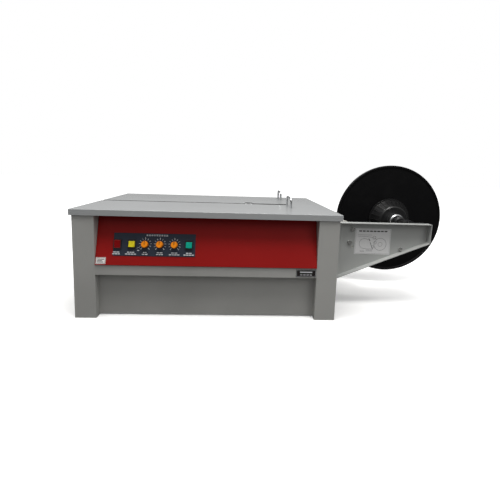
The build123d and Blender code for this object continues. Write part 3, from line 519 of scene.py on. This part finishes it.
def panel_print():
    """White marks on the control plate: dial scales, a title row, and two caption lines per control."""
    marks = Print(PANEL_ORIGIN + PLATE_TOP * PANEL_NORMAL, PANEL_UP)
    row = middle_of("tension_knob")[1]
    for knob in KNOBS:
        dial_scale(marks, middle_of(knob)[0], row)
    title_middle = middle_of("tension_knob")[0] + TITLE_SHIFT
    for i in range(TITLE_MARKS):
        x = title_middle + (i - (TITLE_MARKS - 1) / 2) * TITLE_PITCH
        for y in TITLE_ROWS:
            marks.bar(x, row + y, 6.0, 1.8)
    for node, shift, *lengths in CAPTIONS:
        for y, length in zip(CAPTION_ROWS, lengths):
            caption_line(marks, middle_of(node)[0] + shift, row + y, length)
    x = middle_of("time_knob")[0] - 22
    marks.arc(x, row - 16, 5.0, 0.9, radians(20), radians(140), 8)
    marks.bar(x, row - 21, 6.5, 2.4)
    marks.piece("panel_print", white_print)


def rating_sticker():
    """A small pale sticker with plain dark marks at the red panel's lower left corner."""
    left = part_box("front_control_panel")[0].x / MM + STICKER_PLACE[0]
    low = STICKER_PLACE[1]
    right, high = left + STICKER_SIZE[0], low + STICKER_SIZE[1]
    label = Print(PANEL_ORIGIN, PANEL_UP)
    label.outline([(left, low), (right, low), (right, high), (left, high)])
    label.piece("rating_sticker", label_white)
    marks = Print(PANEL_ORIGIN + PRINT_HEIGHT * PANEL_NORMAL, PANEL_UP)
    inner_low = (left + STICKER_BORDER, low + STICKER_BORDER)
    inner_high = (right - STICKER_BORDER, high - STICKER_BORDER)
    marks.frame(inner_low, inner_high, 0.8)
    for up, length in ((15.5, 22), (11, 16), (6.5, 20)):
        marks.bar(left + 5 + length / 2, low + up, length, 2.0)
    marks.piece("rating_sticker_print", dark_print)


def nameplate_print():
    """A bright border, one long bar and a row of four short bars on the nameplate."""
    low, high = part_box("nameplate")
    wide, tall = (high.x - low.x) / MM, (high.z - low.z) / MM
    marks = Print(low, UPRIGHT)
    marks.frame((1.6, 1.6), (wide - 1.6, tall - 1.6), 0.7)
    marks.bar(wide / 2, tall * 0.64, wide * 0.62, 4.2)
    for i in range(4):
        marks.bar(wide * (0.26 + 0.16 * i), tall * 0.28, wide * 0.12, 2.6)
    marks.piece("nameplate_print", white_print)


def diagram_print():
    """Threading diagram on the instruction sheet: header row, reel, guide rollers and strap path."""
    low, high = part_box("instruction_sheet")
    wide, tall = (high.x - low.x) / MM, (high.z - low.z) / MM
    dark = Print(low, UPRIGHT)
    for i in range(8):
        dark.bar(20 + 14.2 * i, tall - 10, 11.5, 4.6)
    dark.stroke((54, 62), (60, 52), 2.2)
    dark.stroke((60, 48), (72, 20), 1.8)
    dark.path([(22, 12), (40, 12)], 1.4)
    dark.piece("diagram_strokes", dark_print)
    pale = Print(low, UPRIGHT)
    pale.frame((3, 3), (wide - 3, tall - 3), 0.6)
    reel_middle = (100, 40)
    for radius, width in ((24, 1.1), (8, 1.0)):
        pale.arc(*reel_middle, radius, width)
    pale.arc(38, 42, 20, 1.0, radians(40), radians(250))
    for *roller_middle, radius in ((76, 66, 6), (80, 46, 5), (72, 30, 4.5)):
        pale.arc(*roller_middle, radius, 1.0, steps=18)
    pale.path([(12, 70), (48, 70), (70, 66), (86, 60)], 0.9)
    pale.path([(12, 76), (66, 76)], 0.9)
    for y in (13, 17, 21):
        pale.bar(58, y, 26, 1.0)
    pale.piece("diagram_lines", grey_print)


panel_print()
rating_sticker()
nameplate_print()
diagram_print()


# ---- studio --------------------------------------------------------------------------------------
FLOOR_REACH = 9.0
FLOOR_SEEN = (0.93, 0.93, 0.93)
FLOOR_BOUNCE = (0.14, 0.14, 0.14)  # what the object gets from below is less than what the camera sees
FLOOR_FADE = (0.45, 1.5, 0.12, 0.7)  # glow from 0.12 at 0.45 m from the origin to 0.7 at 1.5 m
SKY_GLOW = (0.0, 1.0, 0.08, 0.7)  # by height: dim at the horizon, bright overhead
BACK_WALL = (0.2, 0.9, 0.0, 0.12)  # by depth: a little more light from behind the machine
LIGHT_COLOR = (1.0, 0.99, 0.97)
LIGHTS = (  # name, place, target, size, watts
    ("key_light", (-0.1, -0.85, 3.1), (0.1, -0.1, 0.3), (2.6, 0.8), 82.0),
    ("fill_light", (2.2, -2.0, 1.9), (0.3, 0.0, 0.3), (1.4, 1.4), 12.0),
    ("top_light", (0.2, 0.5, 3.2), (0.1, 0.0, 0.3), (3.0, 2.0), 4.0),
    ("rear_light", (0.6, 2.3, 2.6), (0.1, 0.0, 0.2), (2.0, 0.8), 20.0),
)
CAMERA_PLACE = (0.08653, -1.33351, 0.52496)
CAMERA_RIGHT = (0.99866, -0.04136, 0.03104)
CAMERA_UP = (-0.0255, 0.12838, 0.9914)
CAMERA_SENSOR = 36.0  # millimetres, as is the lens
CAMERA_LENS = 23.125
CAMERA_SHIFT = (0.0011, -0.0860)


def world_ramp(tree, value, limits):
    """A linear ramp in the world's node tree; the limits are from low, from high, to low, to high."""
    made = tree.nodes.new("ShaderNodeMapRange")
    tree.links.new(value, made.inputs["Value"])
    for name, limit in zip(("From Min", "From Max", "To Min", "To Max"), limits):
        made.inputs[name].default_value = limit
    return made.outputs["Result"]


def surround():
    """The world: white to the camera, and to everything else a pale sky, dim at the horizon."""
    world = bpy.data.worlds.new("studio")
    world.use_nodes = True
    tree = world.node_tree
    background = tree.nodes["Background"]
    background.inputs["Color"].default_value = (1.0, 1.0, 1.0, 1.0)
    facing = tree.nodes.new("ShaderNodeSeparateXYZ")
    tree.links.new(tree.nodes.new("ShaderNodeTexCoord").outputs["Generated"], facing.inputs["Vector"])
    light = tree.nodes.new("ShaderNodeMath")
    tree.links.new(world_ramp(tree, facing.outputs["Z"], SKY_GLOW), light.inputs[0])
    tree.links.new(world_ramp(tree, facing.outputs["Y"], BACK_WALL), light.inputs[1])
    seen = tree.nodes.new("ShaderNodeMix")
    tree.links.new(tree.nodes.new("ShaderNodeLightPath").outputs["Is Camera Ray"], seen.inputs["Factor"])
    tree.links.new(light.outputs["Value"], seen.inputs["A"])
    seen.inputs["B"].default_value = 1.0
    tree.links.new(seen.outputs["Result"], background.inputs["Strength"])
    bpy.context.scene.world = world


def white_floor():
    """A flat floor under the machine that runs out to white with distance."""
    mesh = bpy.data.meshes.new("floor")
    build = bmesh.new()
    ground = cad_box[0].z
    corners = ((-1, -1), (1, -1), (1, 1), (-1, 1))
    build.faces.new([build.verts.new((FLOOR_REACH * x, FLOOR_REACH * y, ground)) for x, y in corners])
    build.to_mesh(mesh)
    build.free()
    floor = bpy.data.objects.new("floor", mesh)
    bpy.context.scene.collection.objects.link(floor)
    g = Graph("floor_white")
    looked_at = g.node("ShaderNodeLightPath").outputs["Is Camera Ray"]
    far = g.node("ShaderNodeVectorMath", operation="LENGTH")
    g.put(far.inputs[0], g.place)
    fade = g.ramp(far.outputs["Value"], *FLOOR_FADE)
    g.put(g.surface.inputs["Emission Color"], (1.0, 1.0, 1.0))
    g.put(g.surface.inputs["Emission Strength"], g.math("MULTIPLY", fade, looked_at))
    tone = g.mix(g.noise(2.0, 3.0), FLOOR_SEEN, shade(FLOOR_SEEN, 1.01))
    g.finish(g.mix(looked_at, FLOOR_BOUNCE, tone), 0.7, specular=0.1)
    mesh.materials.append(g.material)


def set_lights():
    """Soft area lights, each aimed at its target."""
    for name, place, target, size, power in LIGHTS:
        lamp = bpy.data.lights.new(name, "AREA")
        lamp.shape = "RECTANGLE"
        lamp.size, lamp.size_y = size
        lamp.energy = power
        lamp.color = LIGHT_COLOR
        carrier = bpy.data.objects.new(name, lamp)
        bpy.context.scene.collection.objects.link(carrier)
        aim = (Vector(target) - Vector(place)).to_track_quat("-Z", "Y")
        carrier.matrix_world = Matrix.Translation(place) @ aim.to_matrix().to_4x4()


def set_camera():
    """The viewpoint: in front of the table, a little above it, slightly rolled."""
    camera = bpy.data.cameras.new("camera")
    camera.sensor_width = CAMERA_SENSOR
    camera.lens = CAMERA_LENS
    camera.shift_x, camera.shift_y = CAMERA_SHIFT
    right = Vector(CAMERA_RIGHT)
    up = Vector(CAMERA_UP)
    up = (up - right * up.dot(right)).normalized()
    turn = Matrix((right.normalized(), up, right.cross(up).normalized())).transposed()
    holder = bpy.data.objects.new("camera", camera)
    holder.matrix_world = Matrix.Translation(CAMERA_PLACE) @ turn.to_4x4()
    bpy.context.scene.collection.objects.link(holder)
    bpy.context.scene.camera = holder


bpy.context.scene.view_settings.view_transform = "Standard"
surround()
white_floor()
set_lights()
set_camera()
